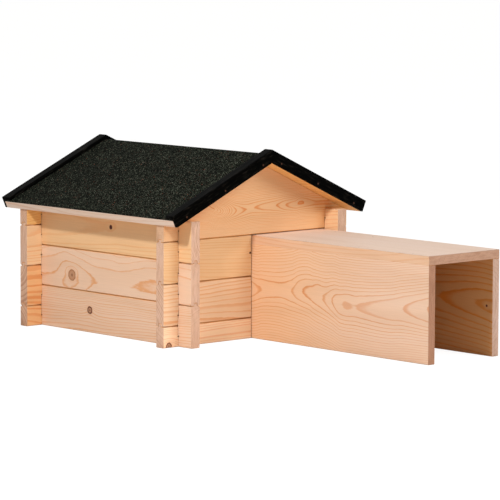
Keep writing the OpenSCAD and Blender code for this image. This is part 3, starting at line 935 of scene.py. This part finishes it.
def foldFelt(settings):
    ridge, slope, length = measureFelt()
    low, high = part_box("roof_felt")
    fold = (0, (low.y + high.y) / 2, ridge)
    deselect()
    bpy.ops.mesh.primitive_grid_add(x_subdivisions=2, y_subdivisions=1, size=1, location=fold)
    sheet = bpy.context.active_object
    sheet.name = "felt_sheet"
    sheet.scale = (2 * length, high.y - low.y, 1)
    bpy.ops.object.transform_apply(location=True, rotation=True, scale=True)
    bpy.ops.object.mode_set(mode="EDIT")
    for side in (-1, 1):
        bpy.ops.mesh.select_all(action="DESELECT")
        work = bmesh.from_edit_mesh(sheet.data)
        for vertex in work.verts:
            vertex.select_set(side * vertex.co.x > settings["onRidge"])
        bmesh.update_edit_mesh(sheet.data)
        bpy.ops.transform.rotate(value=-side * slope, orient_axis="Y", center_override=fold)
    bpy.ops.object.mode_set(mode="OBJECT")
    applyModifier(sheet, "SOLIDIFY", thickness=settings["thickness"], offset=1, use_even_offset=True)

    # The fold is rounded along the ridge of the upper side
    bpy.ops.object.mode_set(mode="EDIT")
    bpy.ops.mesh.select_mode(type="EDGE")
    bpy.ops.mesh.select_all(action="DESELECT")
    work = bmesh.from_edit_mesh(sheet.data)
    near = settings["onRidge"]
    top = max(vertex.co.z for vertex in work.verts) - near
    for edge in work.edges:
        edge.select_set(all(abs(vertex.co.x) < near and vertex.co.z > top for vertex in edge.verts))
    bmesh.update_edit_mesh(sheet.data)
    bpy.ops.mesh.bevel(offset=settings["foldRadius"] * math.tan(slope), segments=settings["foldSteps"],
                       affect="EDGES")
    bpy.ops.object.mode_set(mode="OBJECT")
    applyModifier(sheet, "BEVEL", width=settings["edge"], segments=settings["edgeSteps"],
                  limit_method="ANGLE", angle_limit=math.radians(settings["edgeAngle"]))
    bpy.ops.object.shade_smooth_by_angle(angle=math.radians(settings["smoothUnder"]))
    return sheet


def makeFeltFinish(settings):
    material, tree, inputs = newMaterial("mineral_felt", settings["levels"])
    place = scaled(tree, objectPlace(tree), 1000 / settings["granule"])
    cells = addNode(tree, "TexVoronoi", {"Vector": place, "Scale": 1.0})
    lots = separate(tree, cells["Color"])
    stone = ramp(tree, lots[0], settings["granules"])
    reddish = calc(tree, "GREATER_THAN", lots[1], settings["reddishAbove"])
    stone = blendColours(tree, times(tree, reddish, settings["reddishShare"]), stone,
                         paint(*settings["reddish"]))
    for pace, detail, stops in settings["patches"]:
        stone = tinted(tree, stone, noise(tree, scaled(tree, place, pace), detail), stops)
    seams = stretch(tree, cells["Distance"], *settings["seam"])
    tree.links.new(shaded(tree, stone, combine(tree, [seams] * 3)), inputs["Base Color"])
    addBump(tree, inputs, seams, *settings["bump"])
    return material


def makeChippingFinish(settings):
    material, tree, inputs = newMaterial("loose_chippings", settings["levels"])
    lot = addNode(tree, "Attribute", attribute_name="chipping")["Fac"]
    tree.links.new(ramp(tree, lot, settings["colours"]), inputs["Base Color"])
    return material


def scatterChippings(settings):
    ridge, slope, length = measureFelt()
    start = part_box("front_trim_left")[1].y + settings["trimMargin"]
    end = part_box("rear_trim_left")[0].y - settings["trimMargin"]
    chance = random.Random(settings["seed"])
    deselect()
    bpy.ops.mesh.primitive_ico_sphere_add(subdivisions=1, radius=1)
    pattern = bpy.context.active_object
    corners = [vertex.co.copy() for vertex in pattern.data.vertices]
    faces = [tuple(face.vertices) for face in pattern.data.polygons]
    bpy.data.objects.remove(pattern)

    points, sides, lots = [], [], []
    for count in range(settings["count"]):
        side = chance.choice((-1, 1))
        down = chance.uniform(feltSettings["foldRadius"], length - settings["eaveMargin"])
        along = chance.uniform(start, end)
        size = chance.uniform(*settings["sizes"])
        spin = Matrix.Rotation(chance.uniform(0, math.tau), 3, "Z")
        lean = Matrix.Rotation(side * slope, 3, "Y")
        seat = Vector((0, along, ridge)) + lean @ Vector((side * down, 0, feltSettings["thickness"]))
        longer = chance.uniform(*settings["lengths"])
        lot = chance.random()
        for corner in corners:
            jagged = corner * chance.uniform(*settings["jags"]) * size
            jagged.x *= longer
            jagged.z *= settings["flatness"]
            points.append(seat + lean @ (spin @ jagged))
        first = count * len(corners)
        sides.extend(tuple(first + index for index in face) for face in faces)
        lots.extend([lot] * len(faces))
    mesh = bpy.data.meshes.new("felt_chippings")
    mesh.from_pydata(points, [], sides)
    shade = mesh.attributes.new("chipping", "FLOAT", "FACE")
    shade.data.foreach_set("value", lots)
    mesh.update()
    chippings = bpy.data.objects.new("felt_chippings", mesh)
    addToScene(chippings)
    return chippings


feltSheet = foldFelt(feltSettings)
giveFinish(feltSheet, makeFeltFinish(feltSettings))
standFor(feltSheet, "roof_felt")
chippings = scatterChippings(chippingSettings)
giveFinish(chippings, makeChippingFinish(chippingSettings))
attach(chippings, "roof")
print("felt laid")


# Verge trims, painted black on wood

trimSettings = {
    **boardSettings, "arris": 0.0006,
    "brushed": (18, 900, 900), "wearAndSheen": (60, 300, 300),   # how fast the paint changes along X, Y and Z
    "brushMarks": (3.0, 0.6),   # detail and roughness of their pattern
    # The lightest shade is partly a painted sheen along the trim
    "paintsAndSheen": [(0.16, (2, 2, 2)), (0.3, (5, 5, 4)), (0.42, (34, 31, 27))],
    "roughness": (0.3, 0.7, 0.55, 0.4),   # where the brush marks start and end, and the gloss there
    "levels": {"Specular IOR Level": 0.008}, "bump": (0.5, 0.00015),
}


def makeTrimPaint(name, tilt, settings):
    material, tree, inputs = newMaterial(name, settings["levels"])
    place = turnedLevel(tree, objectPlace(tree), tilt)
    brushed = noise(tree, scaled(tree, place, *settings["brushed"]), *settings["brushMarks"])
    wearAndSheen = noise(tree, scaled(tree, place, *settings["wearAndSheen"]))
    # Where brush marks and worn paint meet, the black turns lighter: brush marks and wear in the paint, and
    # partly a painted sheen
    thinAndSheen = times(tree, brushed, wearAndSheen)
    tree.links.new(ramp(tree, thinAndSheen, settings["paintsAndSheen"]), inputs["Base Color"])
    tree.links.new(stretch(tree, brushed, *settings["roughness"]), inputs["Roughness"])
    addBump(tree, inputs, brushed, *settings["bump"])
    return material


for side in ("left", "right"):
    blackPaint = makeTrimPaint("black_paint_" + side, -slopeOf("roof_panel_" + side), trimSettings)
    for end in ("front", "rear"):
        nodeName = end + "_trim_" + side
        trim = easedCopy(nodeName, "painted_" + nodeName, trimSettings)
        giveFinish(trim, blackPaint)
        standFor(trim, nodeName)
print("trims painted")


# Nails, brads and screws

steelSettings = {
    "brown_steel": {"finish": "browned_steel", "stain": (46, 28, 20), "clean": (84, 54, 38), "rough": 0.5},
    "zinc_steel": {"finish": "zinc_plate", "stain": (92, 86, 80), "clean": (150, 146, 140), "rough": 0.35},
    "pace": 1400, "spots": (3.0, 0.6),   # how fast the stains change, their detail and roughness
    "stained": 0.35, "cleanFrom": 0.6, "wear": (0.3, 0.7), "stainRoughness": 0.15,
    "levels": {"Metallic": 0.85},
}


def makeSteel(slotName, settings):
    steel = settings[slotName]
    material, tree, inputs = newMaterial(steel["finish"], settings["levels"])
    spots = noise(tree, scaled(tree, objectPlace(tree), settings["pace"]), *settings["spots"])
    colours = [(settings["stained"], steel["stain"]), (settings["cleanFrom"], steel["clean"])]
    tree.links.new(ramp(tree, spots, colours), inputs["Base Color"])
    stained = steel["rough"] + settings["stainRoughness"]
    tree.links.new(stretch(tree, spots, *settings["wear"], stained, steel["rough"]), inputs["Roughness"])
    return material


steels = {slotName: makeSteel(slotName, steelSettings) for slotName in ("brown_steel", "zinc_steel")}
for nodeName, node in nodes.items():
    if slotOf[nodeName] in steels:
        giveFinish(node, steels[slotOf[nodeName]])
print("fasteners finished")


print("done")
